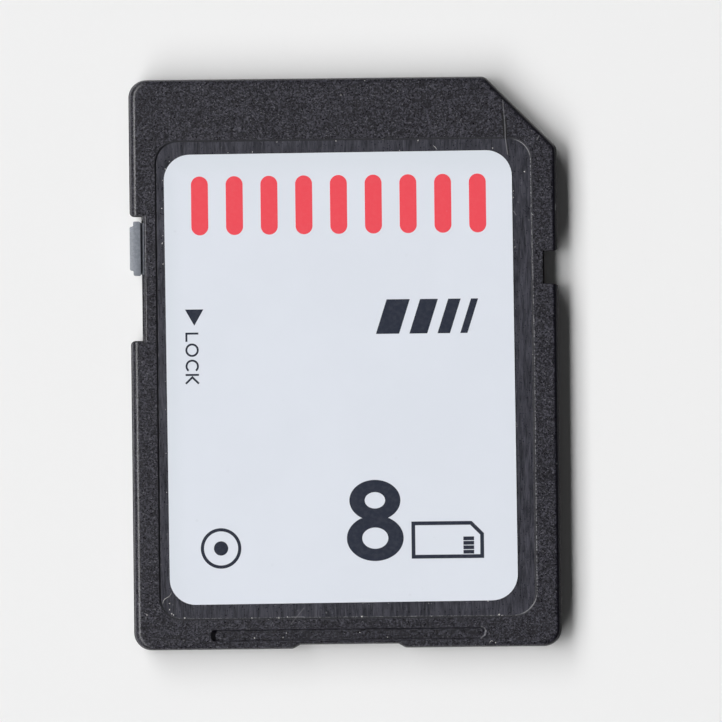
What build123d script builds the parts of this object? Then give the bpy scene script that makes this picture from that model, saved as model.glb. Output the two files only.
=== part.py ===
from build123d import *
from math import sqrt
import os

# A full-size memory card lying on its back with its label up.
# The origin is the middle of the back face, +Y points to the contact end, +Z up through the label.
# All sizes are in millimetres and angles in degrees.

# Card envelope
card_length = 32.0
card_width = 24.0
card_thickness = 2.1
corner_radius = 1.0
cut_corner = 4.0
cut_corner_radius = 0.5

# Guide rails: both long sides are stepped up from the back
rail_width = 0.75
rail_thickness = 1.4
rail_edge_radius = 0.15
back_edge_radius = 0.2

# The two covers and the line where they meet
front_cover_thickness = 0.7
front_cover_inset = 0.01
lock_side_inset = 0.07
lock_notch_inset = 0.14
front_edge_radius = 0.33
lock_edge_radius = 0.12
rear_rim_radius = 0.09
leading_wall = 0.9
trailing_wall = 1.6
cut_corner_wall = 0.9
cavity_radius = 0.3
label_skin = 0.25
back_skin = 0.3
lip_width = 0.35
lip_clearance = 0.05

# Label recess in the front cover, and the label in it
recess_left_margin = 1.44
recess_right_margin = 1.39
recess_leading_margin = 3.41
recess_trailing_margin = 1.67
recess_radius = 1.3
recess_depth = 0.1
recess_draft = 45.0
label_left_gap = 0.56
label_right_gap = 1.1
label_leading_gap = 0.775
label_trailing_gap = 0.91
label_radius = 1.45
label_thickness = 0.08
label_turn = 0.24

# Nail groove near the trailing edge: its ends slope most, its leading side more than its trailing side
groove_length = 15.5
groove_width = 0.65
groove_depth = 0.3
groove_radius = 0.22
groove_floor_radius = 0.12
groove_leading_slope = 0.07
groove_trailing_slope = 0.02
groove_end_slope = 0.27
groove_setback = 0.8
groove_shift = 0.06

# Behind the groove the front cover steps down twice towards the trailing edge
lip_length = 15.4
lip_shift = 0.25
lip_drop = 0.03
lip_step = 0.06
lip_inset = 0.06

# Moulding-gate relief in the trailing edge of both covers
gate_shift = 0.08
gate_width = 5.5
gate_depth = 0.24
gate_ramp = 0.4
gate_outer_radius = 0.45
gate_inner_radius = 0.12

# Both notches have rounded mouths and square inner corners
notch_mouth_radius = 0.25

# Latch notch in the right rail
latch_notch_setback = 9.83
latch_notch_length = 1.84
latch_notch_depth = 0.85
latch_wall = 0.35

# Lock notch in the left rail, and the slider track behind its wall
lock_notch_setback = 7.67
lock_notch_length = 6.96
lock_notch_depth = 0.66
lock_wall = 0.4
track_wall = 0.3
slide_clearance = 0.04

# Lock slider
slider_thickness = 1.0
slider_body_length = 3.05
slider_tab_length = 2.46
slider_tab_reach = 0.2
slider_wall_gap = 0.06
slider_end_gap = 0.26
slider_corner_radius = 0.09
slider_crown_radius = 1.0
slider_neck_length = 2.9
slider_neck_height = 0.3
slider_flange_length = 3.4
slider_flange_height = 0.62
slider_flange_thickness = 0.35

# Contact row on the back: contact 9 is nearest the cut corner, contacts 7 and 8 share a window
cut_side_contact_margin = 2.625
lock_side_contact_margin = 2.25
contact_6_to_7 = 2.425
contact_7_to_8 = 1.7
contact_pair_gap = 0.45
contact_rib_width = 0.6
contact_side_gap = 0.1
contact_length = 4.0
contact_leading_gap = 0.2
contact_trailing_gap = 0.3
contact_thickness = 0.05
contact_lead_in = 0.25

# Circuit board and the ledge that carries it
board_thickness = 0.3
board_clearance = 0.08
board_ledge = 0.8
board_rib = 0.6

# Memory package
memory_width = 12.0
memory_side_margin = 2.2
memory_trailing_margin = 1.1
memory_standoff = 0.05
memory_headroom = 0.07
memory_edge_chamfer = 0.08
lead_reach = 0.8
lead_foot = 0.4
lead_shoulder = 0.15
lead_width = 0.22
lead_thickness = 0.1
lead_pitch = 0.5
lead_end_margin = 0.25

# Controller and passives
controller_size = 6.0
controller_gap = 1.6
controller_offset = 1.5
controller_headroom = 0.12
controller_edge_chamfer = 0.08
pin_mark_diameter = 0.6
pin_mark_depth = 0.05
pin_mark_inset = 0.8
passive_count = 4
passive_pitch = 1.4
passive_gap = 0.9
passive_length = 1.0
passive_width = 0.5
passive_cap = 0.25
passive_step = 0.03
capacitor_headroom = 0.2
resistor_headroom = 0.35

# How far a cutting tool runs past the face that it opens, and how far a notch cutter flares there
overrun = 1.0
notch_flare = 4.0

# Derived planes and heights
half_width = card_width / 2
half_length = card_length / 2
rail_z = card_thickness - rail_thickness
split_z = card_thickness - front_cover_thickness
contact_z = rail_z
board_z = contact_z + contact_thickness
board_top = board_z + board_thickness
label_floor = card_thickness - recess_depth
ceiling_z = label_floor - label_skin

# Derived plan lines
side_wall = latch_notch_depth + latch_wall
cut_line = half_width + half_length - cut_corner
groove_y = -half_length + groove_setback
lip_y = -half_length + gate_depth + lip_inset
lock_notch_front = half_length - lock_notch_setback
lock_notch_rear = lock_notch_front - lock_notch_length
lock_face = -half_width + lock_notch_depth
latch_notch_front = half_length - latch_notch_setback
latch_notch_rear = latch_notch_front - latch_notch_length
latch_face = half_width - latch_notch_depth

# Derived slider track
slider_y = lock_notch_front - slider_end_gap - slider_body_length / 2
lock_travel = lock_notch_length - slider_body_length - 2 * slider_end_gap
track_outer = lock_face + lock_wall
flange_outer = track_outer + slide_clearance
flange_inner = flange_outer + slider_flange_thickness
track_inner = flange_inner + slide_clearance
track_front = slider_y + slider_flange_length / 2 + slide_clearance
track_rear = slider_y - lock_travel - slider_flange_length / 2 - slide_clearance
neck_slot_front = slider_y + slider_neck_length / 2 + slide_clearance
neck_slot_rear = slider_y - lock_travel - slider_neck_length / 2 - slide_clearance
lock_block_inner = track_inner + track_wall

# Derived contact row
contact_9_x = half_width - cut_side_contact_margin
contact_8_x = -half_width + lock_side_contact_margin
contact_7_x = contact_8_x + contact_7_to_8
contact_6_x = contact_7_x + contact_6_to_7
contact_pitch = (contact_9_x - contact_6_x) / 6
window_width = contact_pitch - contact_rib_width
contact_width = window_width - 2 * contact_side_gap
pair_contact_width = contact_7_to_8 - contact_pair_gap
contact_front = half_length - leading_wall - contact_leading_gap
cavity_cut_line = cut_line - cut_corner_wall * sqrt(2)
contact_9_front = cavity_cut_line - contact_9_x - contact_width / 2 - contact_leading_gap


def block(x0, x1, y0, y1, z0, z1):
    """Box between two corners."""
    return Pos((x0 + x1) / 2, (y0 + y1) / 2, (z0 + z1) / 2) * Box(x1 - x0, y1 - y0, z1 - z0)


def rectangle(x0, x1, y0, y1):
    """Flat rectangle between two corners."""
    return Pos((x0 + x1) / 2, (y0 + y1) / 2) * Rectangle(x1 - x0, y1 - y0)


def prism(plan, z0, z1):
    """Plan raised into a solid from one height to another."""
    return Pos(0, 0, z0) * extrude(plan, z1 - z0)


def outline(corners):
    """Closed plan through (x, y, corner radius) points, taken anticlockwise."""
    points = [(x, y) for x, y, radius in corners]
    radii = [radius for x, y, radius in corners]
    return make_face(FilletPolyline(*points, radius=radii, close=True))


def gate_relief(edge):
    """Corners of the shallow relief in a trailing edge, from left to right."""
    left = gate_shift - gate_width / 2
    right = gate_shift + gate_width / 2
    floor = -half_length + gate_depth
    return [
        (left - gate_ramp, edge, gate_outer_radius),
        (left, floor, gate_inner_radius),
        (right, floor, gate_inner_radius),
        (right + gate_ramp, edge, gate_outer_radius),
    ]


def notch(edge_x, face_x, first_y, last_y):
    """Corners of a square notch in a side edge, in the order that the outline passes them."""
    return [
        (edge_x, first_y, notch_mouth_radius),
        (face_x, first_y, 0),
        (face_x, last_y, 0),
        (edge_x, last_y, notch_mouth_radius),
    ]


def card_plan(inset, lock_inset, latch=(), lock=()):
    """Plan of one cover with its cut corner and trailing relief, and with the notches it is given."""
    left = -half_width + lock_inset
    right = half_width - inset
    front = half_length - inset
    line = cut_line - inset * sqrt(2)
    return outline([
        (left, -front, corner_radius),
        *gate_relief(-front),
        (right, -front, corner_radius),
        *latch,
        (right, line - right, cut_corner_radius),
        (line - front, front, cut_corner_radius),
        (left, front, corner_radius),
        *lock,
    ])


def front_notch(side, edge_x, face_x, rear_y, front_y):
    """Cutter for a notch of the front cover, with rounded mouth corners; it flares out past the side edge."""
    outer_x = edge_x + side * overrun
    corners = [
        (face_x, rear_y, 0),
        (edge_x, rear_y, notch_mouth_radius),
        (outer_x, rear_y - notch_flare, 0),
        (outer_x, front_y + notch_flare, 0),
        (edge_x, front_y, notch_mouth_radius),
        (face_x, front_y, 0),
    ]
    return prism(outline(corners[::side]), split_z - overrun, card_thickness + overrun)


def back_plan():
    """Plan of the thick middle of the back, between the two rails."""
    right = half_width - rail_width
    return outline([
        (-right, -half_length, corner_radius),
        *gate_relief(-half_length),
        (right, -half_length, corner_radius),
        (right, cut_line - right, cut_corner_radius),
        (cut_line - half_length, half_length, cut_corner_radius),
        (-right, half_length, corner_radius),
    ])


def cavity_plan(inset=0.0):
    """Plan of the hollow between the covers, without the block that holds the slider track."""
    right = half_width - side_wall - inset
    front = half_length - leading_wall - inset
    rear = -half_length + trailing_wall + inset
    line = cavity_cut_line - inset * sqrt(2)
    corners = [(-right, rear), (right, rear), (right, line - right), (line - front, front), (-right, front)]
    hollow = outline([(x, y, cavity_radius) for x, y in corners])
    reach = track_wall + inset
    lock_block = rectangle(-half_width, lock_block_inner + inset, track_rear - reach, track_front + reach)
    return hollow - lock_block


def slider_track():
    """Space for the slider's flange behind the notch wall, and the slot in that wall for its neck."""
    flange_half = slider_flange_height / 2 + slide_clearance
    neck_half = slider_neck_height / 2 + slide_clearance
    pocket = block(track_outer, track_inner, track_rear, track_front,
                   split_z - flange_half, split_z + flange_half)
    slot = block(lock_face - overrun, track_outer + slide_clearance, neck_slot_rear, neck_slot_front,
                 split_z - neck_half, split_z + neck_half)
    return pocket + slot


def label_recess():
    """Shallow drafted pocket for the label, open at the front face."""
    width = card_width - recess_left_margin - recess_right_margin
    length = card_length - recess_leading_margin - recess_trailing_margin
    middle_x = (recess_left_margin - recess_right_margin) / 2
    middle_y = (recess_trailing_margin - recess_leading_margin) / 2
    plan = Pos(middle_x, middle_y) * RectangleRounded(width, length, recess_radius)
    return Pos(0, 0, card_thickness) * extrude(plan, -recess_depth, taper=recess_draft)


def nail_groove():
    """Groove with rounded corners, lofted from its mouth down to a shorter and narrower floor."""
    mouth = RectangleRounded(groove_length, groove_width, groove_radius)
    floor_length = groove_length - 2 * groove_end_slope
    floor_width = groove_width - groove_leading_slope - groove_trailing_slope
    floor_y = (groove_trailing_slope - groove_leading_slope) / 2
    floor = Pos(0, floor_y, -groove_depth) * RectangleRounded(floor_length, floor_width, groove_floor_radius)
    return Pos(groove_shift, groove_y, card_thickness) * loft([mouth, floor], ruled=True)


def trailing_lip():
    """Cutters for the two steps between the groove and the trailing edge."""
    left = lip_shift - lip_length / 2
    right = lip_shift + lip_length / 2
    rear = -half_length - overrun
    top = card_thickness + overrun
    land_z = card_thickness - lip_drop
    land = block(left, right, rear, groove_y, land_z, top)
    return land + block(left, right, rear, lip_y, land_z - lip_step, top)


def lock_notch_edge(shell):
    """Upper edge of the lock notch's inner wall."""
    edges = shell.faces().sort_by(Axis.Z)[-1].edges().filter_by(Axis.Y)
    return min(edges, key=lambda edge: abs(edge.center().X - lock_face - lock_notch_inset))


def front_cover():
    """Upper half of the housing, with a lip below that locates it in the rear cover and holds the board."""
    left = -half_width + lock_side_inset
    right = half_width - front_cover_inset
    blank = prism(card_plan(front_cover_inset, lock_side_inset), split_z, card_thickness)
    blank = fillet(blank.faces().sort_by(Axis.Z)[-1].edges(), front_edge_radius)
    shell = blank - front_notch(1, right, latch_face - front_cover_inset,
                                latch_notch_rear - front_cover_inset, latch_notch_front + front_cover_inset)
    shell = shell - front_notch(-1, left, lock_face + lock_notch_inset,
                                lock_notch_rear - lock_side_inset, lock_notch_front + lock_side_inset)
    shell = fillet(lock_notch_edge(shell), lock_edge_radius)
    lip = prism(cavity_plan(lip_clearance), board_top, split_z)
    shell = shell + lip
    shell = shell - prism(cavity_plan(lip_width), board_top - overrun, ceiling_z)
    return shell - label_recess() - nail_groove() - trailing_lip() - slider_track()


def front_label():
    """White film label, stuck a little askew in the recess."""
    left = -half_width + recess_left_margin + label_left_gap
    right = half_width - recess_right_margin - label_right_gap
    rear = -half_length + recess_trailing_margin + label_trailing_gap
    front = half_length - recess_leading_margin - label_leading_gap
    plan = Rot(0, 0, label_turn) * RectangleRounded(right - left, front - rear, label_radius)
    plan = Pos((left + right) / 2, (rear + front) / 2) * plan
    return prism(plan, label_floor, label_floor + label_thickness)


def contact_x(number):
    """Middle of a contact across the card."""
    if number == 9:
        return contact_9_x
    if number == 8:
        return contact_8_x
    if number == 7:
        return contact_7_x
    return contact_9_x - number * contact_pitch


def contact_span(number):
    """Sides, rear end and front end of a contact."""
    width = pair_contact_width if number in (7, 8) else contact_width
    front = contact_9_front if number == 9 else contact_front
    middle = contact_x(number)
    return middle - width / 2, middle + width / 2, front - contact_length, front


def contact(number):
    """One gold contact on the back of the board."""
    left, right, rear, front = contact_span(number)
    return block(left, right, rear, front, contact_z, board_z)


def contact_window(first, last):
    """Slot over one contact or a pair, open to the leading edge, and the window onto the board."""
    left = contact_span(last)[0] - contact_side_gap
    right = contact_x(first) + window_width / 2
    rear = contact_span(first)[2] - contact_trailing_gap
    front = half_length + overrun
    rise = contact_lead_in + overrun
    section = make_face(Polyline(
        (rear, -overrun),
        (front, -overrun),
        (front, contact_z + rise),
        (half_length - contact_lead_in, contact_z),
        (rear, contact_z),
        close=True,
    ))
    slot = Pos(left, 0, 0) * extrude(Plane.YZ * section, right - left)
    opening = block(left, right, rear, half_length, -overrun, board_top)
    return slot, opening & prism(cavity_plan(), -overrun, board_top)


def board_relief():
    """Four pockets under the board, between the ledge round its edge and a cross of ribs."""
    left = lock_block_inner + board_ledge
    right = half_width - side_wall - board_ledge
    rear = -half_length + trailing_wall + board_ledge
    front = contact_span(9)[2] - contact_trailing_gap - board_ledge
    middle_x = (left + right) / 2
    middle_y = (rear + front) / 2
    columns = [(left, middle_x - board_rib / 2), (middle_x + board_rib / 2, right)]
    rows = [(rear, middle_y - board_rib / 2), (middle_y + board_rib / 2, front)]
    return [block(x0, x1, y0, y1, back_skin, board_top) for x0, x1 in columns for y0, y1 in rows]


def rail_edges():
    """Cutters that round the lower outer edge of both rails."""
    radius = rail_edge_radius
    corner = rectangle(half_width - radius, half_width + overrun, rail_z - overrun, rail_z + radius)
    corner = corner - Pos(half_width - radius, rail_z + radius) * Circle(radius)
    right = Pos(0, half_length, 0) * extrude(Plane.XZ * corner, card_length)
    return [right, mirror(right, Plane.YZ)]


def rear_cover():
    """Lower half of the housing: stepped rails, contact windows with ribs, and the seat of the board."""
    latch = notch(half_width, latch_face, latch_notch_rear, latch_notch_front)
    lock = notch(-half_width, lock_face, lock_notch_front, lock_notch_rear)
    rim = prism(card_plan(0, 0, latch, lock), rail_z, split_z)
    rim = fillet(rim.faces().sort_by(Axis.Z)[-1].edges(), rear_rim_radius)
    back = prism(back_plan(), 0, rail_z)
    back = fillet(back.faces().sort_by(Axis.Z)[0].edges(), back_edge_radius)
    shell = rim + back
    for edge in rail_edges():
        shell = shell - edge
    shell = shell - prism(cavity_plan(), board_z, split_z + overrun)
    for pocket in board_relief():
        shell = shell - pocket
    for first, last in [(9, 9), (1, 1), (2, 2), (3, 3), (4, 4), (5, 5), (6, 6), (7, 8)]:
        slot, opening = contact_window(first, last)
        shell = shell - slot - opening
    return shell - slider_track()


def lock_slider():
    """Write-protect slider at its unlocked end: a crowned knob outside, a flange in the track behind."""
    tab_left = -half_width
    body_left = tab_left + slider_tab_reach
    body_right = lock_face - slider_wall_gap
    half = slider_thickness / 2
    tab_half = slider_tab_length / 2
    body_half = slider_body_length / 2
    tab = rectangle(tab_left, body_right, slider_y - tab_half, slider_y + tab_half)
    body = rectangle(body_left, body_right, slider_y - body_half, slider_y + body_half)
    knob = prism(tab + body, split_z - half, split_z + half)
    knob = fillet(knob.edges().filter_by(Axis.Z), slider_corner_radius)
    crown = Rot(90, 0, 0) * Cylinder(slider_crown_radius, slider_body_length + overrun)
    for drop in (half - slider_crown_radius, slider_crown_radius - half):
        knob = knob & Pos((tab_left + body_right) / 2, slider_y, split_z + drop) * crown
    neck = block(body_right, flange_outer,
                 slider_y - slider_neck_length / 2, slider_y + slider_neck_length / 2,
                 split_z - slider_neck_height / 2, split_z + slider_neck_height / 2)
    flange = block(flange_outer, flange_inner,
                   slider_y - slider_flange_length / 2, slider_y + slider_flange_length / 2,
                   split_z - slider_flange_height / 2, split_z + slider_flange_height / 2)
    return knob + neck + flange


# Derived component places on the board
board_half_width = half_width - side_wall - board_clearance
board_rear = -half_length + trailing_wall + board_clearance
memory_y = board_rear + memory_trailing_margin + memory_width / 2
memory_half_span = board_half_width - memory_side_margin
memory_bottom = board_top + memory_standoff
memory_top = ceiling_z - memory_headroom
controller_y = memory_y + memory_width / 2 + controller_gap + controller_size / 2
controller_top = ceiling_z - controller_headroom


def circuit_board():
    """Thin board that follows the hollow, cut back round the slider track."""
    return prism(cavity_plan(board_clearance), board_z, board_top)


def pin_mark(x, y, top):
    """Shallow round dimple beside the first pin of a package."""
    return Pos(x, y, top - pin_mark_depth / 2) * Cylinder(pin_mark_diameter / 2, pin_mark_depth)


def package(half_x, half_y, middle_x, middle_y, bottom, top, bevel):
    """Moulded chip package with bevelled upper edges and a pin mark."""
    body = block(middle_x - half_x, middle_x + half_x, middle_y - half_y, middle_y + half_y, bottom, top)
    body = chamfer(body.faces().sort_by(Axis.Z)[-1].edges(), bevel)
    return body - pin_mark(middle_x - half_x + pin_mark_inset, middle_y + half_y - pin_mark_inset, top)


def memory_chip():
    """Flash memory package, lying across the board."""
    half_body = memory_half_span - lead_reach
    return package(half_body, memory_width / 2, 0, memory_y, memory_bottom, memory_top, memory_edge_chamfer)


def memory_chip_leads():
    """Gull-wing leads along both ends of the memory package, as many as its width takes."""
    root = memory_half_span - lead_reach
    shoulder = root + lead_shoulder
    toe = memory_half_span
    heel = toe - lead_foot
    middle = (memory_bottom + memory_top) / 2
    upper = middle + lead_thickness / 2
    lower = middle - lead_thickness / 2
    section = make_face(Polyline(
        (root, lower),
        (shoulder - lead_thickness, lower),
        (heel - lead_thickness, board_top),
        (toe, board_top),
        (toe, board_top + lead_thickness),
        (heel, board_top + lead_thickness),
        (shoulder, upper),
        (root, upper),
        close=True,
    ))
    lead = Pos(0, lead_width / 2, 0) * extrude(Plane.XZ * section, lead_width)
    count = int((memory_width - 2 * lead_end_margin) / lead_pitch) + 1
    first = memory_y - (count - 1) * lead_pitch / 2
    right = [Pos(0, first + index * lead_pitch, 0) * lead for index in range(count)]
    left = [mirror(item, Plane.YZ) for item in right]
    return Compound(children=right + left)


def controller_chip():
    """Controller package between the memory and the contact row."""
    half = controller_size / 2
    return package(half, half, controller_offset, controller_y,
                   board_top, controller_top, controller_edge_chamfer)


def passive(side, index, headroom):
    """Small two-ended part beside the controller, on its left or right, with raised end caps."""
    x = controller_offset + side * (controller_size / 2 + passive_gap + passive_length / 2)
    y = controller_y + (index - (passive_count - 1) / 2) * passive_pitch
    top = ceiling_z - headroom
    half_length_x = passive_length / 2
    half_width_y = passive_width / 2
    core = block(x - half_length_x, x + half_length_x, y - half_width_y + passive_step,
                 y + half_width_y - passive_step, board_top, top - passive_step)
    left_cap = block(x - half_length_x, x - half_length_x + passive_cap, y - half_width_y, y + half_width_y,
                     board_top, top)
    right_cap = block(x + half_length_x - passive_cap, x + half_length_x, y - half_width_y, y + half_width_y,
                      board_top, top)
    return core + left_cap + right_cap


pieces = {
    "front_cover": front_cover(),
    "rear_cover": rear_cover(),
    "lock_slider": lock_slider(),
    "front_label": front_label(),
    "circuit_board": circuit_board(),
    "memory_chip": memory_chip(),
    "memory_chip_leads": memory_chip_leads(),
    "controller_chip": controller_chip(),
}
for number in range(1, 10):
    pieces[f"contact_{number}"] = contact(number)
for index in range(passive_count):
    pieces[f"capacitor_{index + 1}"] = passive(-1, index, capacitor_headroom)
    pieces[f"resistor_{index + 1}"] = passive(1, index, resistor_headroom)

os.makedirs("parts", exist_ok=True)
for name, shape in pieces.items():
    export_step(shape, f"parts/{name}.step")
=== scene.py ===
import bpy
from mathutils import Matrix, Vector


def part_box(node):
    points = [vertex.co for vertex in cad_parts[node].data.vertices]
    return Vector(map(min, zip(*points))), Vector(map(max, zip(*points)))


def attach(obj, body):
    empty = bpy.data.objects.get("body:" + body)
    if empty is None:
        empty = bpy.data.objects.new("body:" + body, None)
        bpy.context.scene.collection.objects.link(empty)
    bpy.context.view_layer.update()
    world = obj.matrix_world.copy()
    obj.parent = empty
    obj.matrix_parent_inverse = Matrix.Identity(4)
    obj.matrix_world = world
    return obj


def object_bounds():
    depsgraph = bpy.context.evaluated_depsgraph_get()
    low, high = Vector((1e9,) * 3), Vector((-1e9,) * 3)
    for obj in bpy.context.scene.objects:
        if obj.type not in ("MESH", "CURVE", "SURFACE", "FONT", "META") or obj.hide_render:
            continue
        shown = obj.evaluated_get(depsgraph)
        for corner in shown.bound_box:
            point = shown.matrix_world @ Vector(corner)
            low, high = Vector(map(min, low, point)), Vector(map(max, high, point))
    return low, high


bl_info = {
    "name": "Memory card looks",
    "version": (1, 0, 0),
    "blender": (4, 5, 0),
    "location": "View3D > Sidebar > Memory card",
    "description": "Finishes, label print, dust and a plain studio for a memory card",
    "category": "Object",
}

import math

import bmesh
import bpy
import numpy as np
from bpy.props import FloatProperty, FloatVectorProperty, IntProperty, PointerProperty
from bpy.types import Operator, Panel, PropertyGroup

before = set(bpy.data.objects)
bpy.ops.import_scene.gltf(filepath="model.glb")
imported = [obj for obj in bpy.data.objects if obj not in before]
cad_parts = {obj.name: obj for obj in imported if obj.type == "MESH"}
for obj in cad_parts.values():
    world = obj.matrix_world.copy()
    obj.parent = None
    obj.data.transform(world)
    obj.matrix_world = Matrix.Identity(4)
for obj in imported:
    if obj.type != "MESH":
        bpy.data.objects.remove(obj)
cad_low, cad_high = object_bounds()

# Lengths are in metres, so a size in millimetres is written as a number times MM
MM = 0.001
PER_MM = 1 / MM
CARD_BODY = "card"

# The label and the front face, as the frame has them
label_low, label_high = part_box("front_label")
FRONT_Z = cad_high.z
LABEL_Z = label_high.z
LABEL_FLOOR_Z = label_low.z

# Nodes that share a finish
COVERS = ("front_cover", "rear_cover")
CONTACTS = tuple(f"contact_{number}" for number in range(1, 10))
CAPACITORS = tuple(f"capacitor_{number}" for number in range(1, 5))
RESISTORS = tuple(f"resistor_{number}" for number in range(1, 5))
PACKAGES = ("memory_chip", "controller_chip")


def length(name, description, millimetres):
    """Property for a length, written in millimetres."""
    return FloatProperty(name=name, description=description, default=millimetres * MM,
                         unit="LENGTH", precision=6)


def colour(name, description, value):
    """Property for a linear colour."""
    return FloatVectorProperty(name=name, description=description, default=value,
                               subtype="COLOR", min=0, max=1)


def angle(name, description, degrees):
    """Property for an angle, written in degrees."""
    return FloatProperty(name=name, description=description, default=math.radians(degrees),
                         subtype="ANGLE")


def power(name, description, watts):
    """Property for a lamp's power."""
    return FloatProperty(name=name, description=description, default=watts, unit="POWER")


class CoverSettings(PropertyGroup):
    plastic: colour("Plastic", "Body colour of the covers", (0.0022, 0.0018, 0.005))
    plastic_pale: colour("Pale grain", "High grains of the moulded face", (0.057, 0.0555, 0.073))
    glint: colour("Glint", "The few grains that catch the light", (0.14, 0.14, 0.147))
    recess_dark: colour("Recess", "Dark streaks in the label recess", (0.002, 0.0026, 0.0075))
    recess_pale: colour("Recess streaks", "Pale streaks in the label recess", (0.0525, 0.052, 0.0687))
    # Painted highlight: a paler colour for the recess walls that face the lamps; the wall on the lock side
    # keeps the dark plastic
    recess_wall_highlight: colour("Recess wall", "Recess walls that face the light", (0.04, 0.04, 0.046))
    # Besides real dust and pale scratches, this colour paints the pale line along the recess rim, which is
    # partly dust and partly painted highlight, and the painted highlight at the nail groove's right end
    dust: colour("Dust", "Dust in the corners and pale scratches", (0.42, 0.42, 0.44))
    scratch: colour("Dark scratch", "Dark scratches on the front", (0.001, 0.001, 0.0012))
    grain_size: length("Grain size", "Size of a grain of the moulded face", 0.065)
    grain_depth: length("Grain depth", "Height of a grain of the moulded face", 0.012)
    recess_left: length("Recess left margin", "From the lock side to the label recess", 1.44)
    recess_right: length("Recess right margin", "From the latch side to the label recess", 1.39)
    recess_leading: length("Recess leading margin", "From the contact end to the label recess", 3.41)
    recess_trailing: length("Recess trailing margin", "From the trailing end to the label recess", 1.67)
    recess_radius: length("Recess corner radius", "Corner radius of the label recess", 1.3)
    recess_wall_width: length("Recess wall width", "How far the recess wall slopes in", 0.1)


class SliderSettings(PropertyGroup):
    plastic: colour("Plastic", "Body colour of the lock slider", (0.2, 0.215, 0.245))
    dust: colour("Dust", "Dust on the lock slider", (0.6, 0.6, 0.6))
    grain_size: length("Grain size", "Size of a grain of the slider's face", 0.1)
    grain_depth: length("Grain depth", "Height of a grain of the slider's face", 0.004)


class LabelSettings(PropertyGroup):
    film: colour("Film", "Colour of the label film", (0.722, 0.757, 0.825))
    film_shade: colour("Film shade", "Faint clouds in the label film", (0.708, 0.743, 0.81))
    # Colour of the film towards the label's left and top edges, where it is darker
    film_darkened: colour("Handled film", "Film along its handled edges", (0.66, 0.705, 0.755))
    speck: colour("Speck", "Dust on the label film", (0.45, 0.46, 0.5))
    tooth_depth: length("Tooth depth", "Height of the film's fine tooth", 0.0015)
    warm_ink: colour("Red ink", "Ink of the heading bars", (0.84, 0.06, 0.084))
    dark_ink: colour("Dark ink", "Ink of the other marks", (0.007, 0.012, 0.029))
    pinhole: colour("Pinhole", "Film that shows through the ink", (0.7, 0.72, 0.78))
    ink_height: length("Ink height", "How far the ink stands on the label", 0.006)
    ink_foot: length("Ink foot", "How far the ink reaches into the label", 0.004)
    bar_count: IntProperty(name="Heading bars", description="Number of heading bars", default=9, min=1)
    bar_width: length("Bar width", "Width of one heading bar", 0.95)


class BoardSettings(PropertyGroup):
    gold: colour("Gold", "Plating of the contacts", (0.78, 0.53, 0.2))
    gold_wiped: colour("Wiped gold", "Plating along the wipe marks", (0.9, 0.68, 0.32))
    wipe_depth: length("Wipe depth", "Depth of the contacts' wipe marks", 0.002)
    mask: colour("Solder mask", "Solder mask of the board", (0.012, 0.06, 0.03))
    track: colour("Track", "Solder mask over a copper track", (0.02, 0.095, 0.045))
    track_height: length("Track height", "How far a copper track stands up", 0.01)
    package: colour("Package", "Moulding compound of the chips", (0.01, 0.01, 0.011))
    package_pale: colour("Package grain", "High grains of the chips", (0.03, 0.03, 0.032))
    package_grain: length("Package grain size", "Size of a grain of the chips", 0.06)
    package_depth: length("Package grain depth", "Height of a grain of the chips", 0.006)
    tin: colour("Tin", "Dull tin of the leads and the end caps", (0.5, 0.5, 0.5))
    lead_bright: colour("Bright lead", "Bright tin of the leads", (0.72, 0.72, 0.7))
    cap_bright: colour("Bright end cap", "Bright tin of the end caps", (0.7, 0.7, 0.68))
    cap_length: length("End cap length", "Length of a tinned end cap", 0.25)
    capacitor: colour("Capacitor", "Ceramic of the capacitors", (0.36, 0.22, 0.11))
    capacitor_pale: colour("Pale capacitor", "Pale ceramic of the capacitors", (0.45, 0.29, 0.16))
    resistor: colour("Resistor", "Coating of the resistors", (0.012, 0.012, 0.013))
    resistor_pale: colour("Pale resistor", "Pale coating of the resistors", (0.03, 0.03, 0.032))


class DustSettings(PropertyGroup):
    seed: IntProperty(name="Seed", description="Start of the random draws for dust", default=7)
    fibre_width: length("Fibre width", "Thickness of a lint fibre", 0.028)
    lint: colour("Lint", "Colour of specks and lint", (0.62, 0.61, 0.60))


class StageSettings(PropertyGroup):
    floor: colour("Floor", "Colour of the floor and of what is behind it", (0.87, 0.87, 0.87))
    field_width: length("Field width", "Width that the picture spans at the front face", 40.47)
    aim_x: length("Aim across", "Where the picture's middle lies across the card", 0.898)
    aim_y: length("Aim along", "Where the picture's middle lies along the card", 0.111)
    turn: angle("Turn", "Turn of the camera about its line of sight", -0.63)
    lens: FloatProperty(name="Lens", description="Focal length of the camera", default=500.0, unit="CAMERA")
    lamp_distance: length("Lamp distance", "From the card to the high and the low lamp", 3000)
    high_tilt: angle("High lamp's tilt", "How far the high lamp leans from straight above", 23.0)
    high_width: length("High lamp's width", "Width of the high lamp, across the card", 510)
    high_length: length("High lamp's length", "Length of the high lamp, along the card", 7200)
    high_power: power("High lamp's power", "Power of the high lamp", 55.0)
    low_tilt: angle("Low lamp's tilt", "How far the low lamp leans from straight above", 35.5)
    low_width: length("Low lamp's width", "Width of the low lamp, across the card", 900)
    low_length: length("Low lamp's length", "Length of the low lamp, along the card", 7200)
    low_power: power("Low lamp's power", "Power of the low lamp", 90.5)
    near_distance: length("Near lamp's distance", "From the card to the near lamp", 2850)
    near_tilt: angle("Near lamp's tilt", "How far the near lamp leans from straight above", 23.0)
    near_width: length("Near lamp's width", "Width of the near lamp, across the card", 450)
    near_length: length("Near lamp's length", "Length of the near lamp, along the card", 900)
    near_power: power("Near lamp's power", "Power of the near lamp", 14.0)
    sky: FloatProperty(name="Sky", description="Strength of the light from all round", default=0.055, min=0)


def settings(name):
    """One of the property groups, as the current scene holds it."""
    return getattr(bpy.context.scene, name)


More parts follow.
